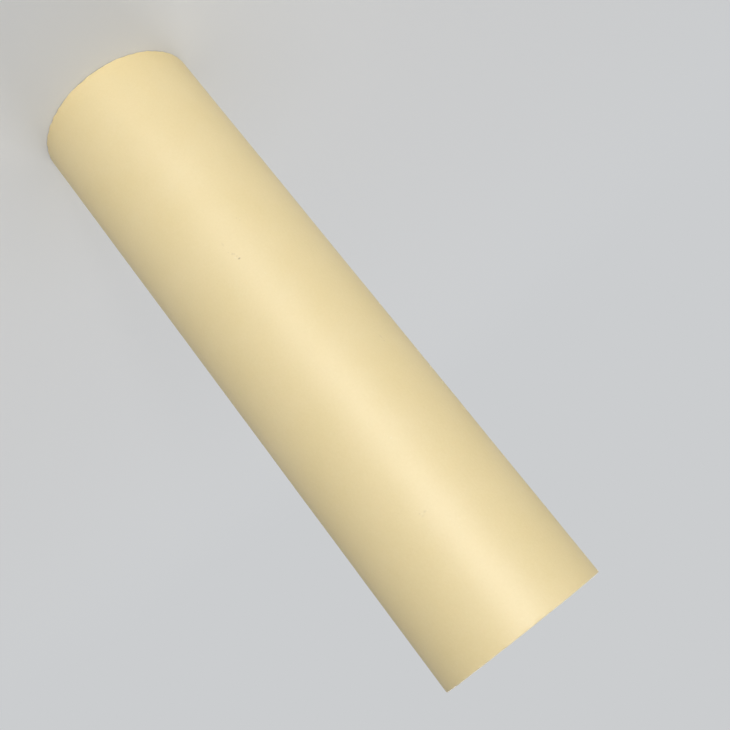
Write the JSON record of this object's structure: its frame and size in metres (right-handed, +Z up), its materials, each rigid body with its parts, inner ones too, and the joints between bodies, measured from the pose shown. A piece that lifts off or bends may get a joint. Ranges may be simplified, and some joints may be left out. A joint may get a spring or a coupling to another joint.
{
  "type": "alumina tube",
  "caption": "Straight open ceramic tube with a plain round bore and square sawn ends, used as a wear-resistant or heat-resistant liner or sleeve.",
  "frame": {"origin": "centre of the sawn end that the tube stands on, on the bore's axis", "axes": "+Z up along the bore's axis to the other end; the tube is round, so X and Y are any two square directions"},
  "size_m": [0.104, 0.104, 0.4],
  "materials": {
    "fired_alumina": "satin"
  },
  "bodies": {
    "root": {"ceramic_tube": "fired_alumina"}
  },
  "joints": []
}
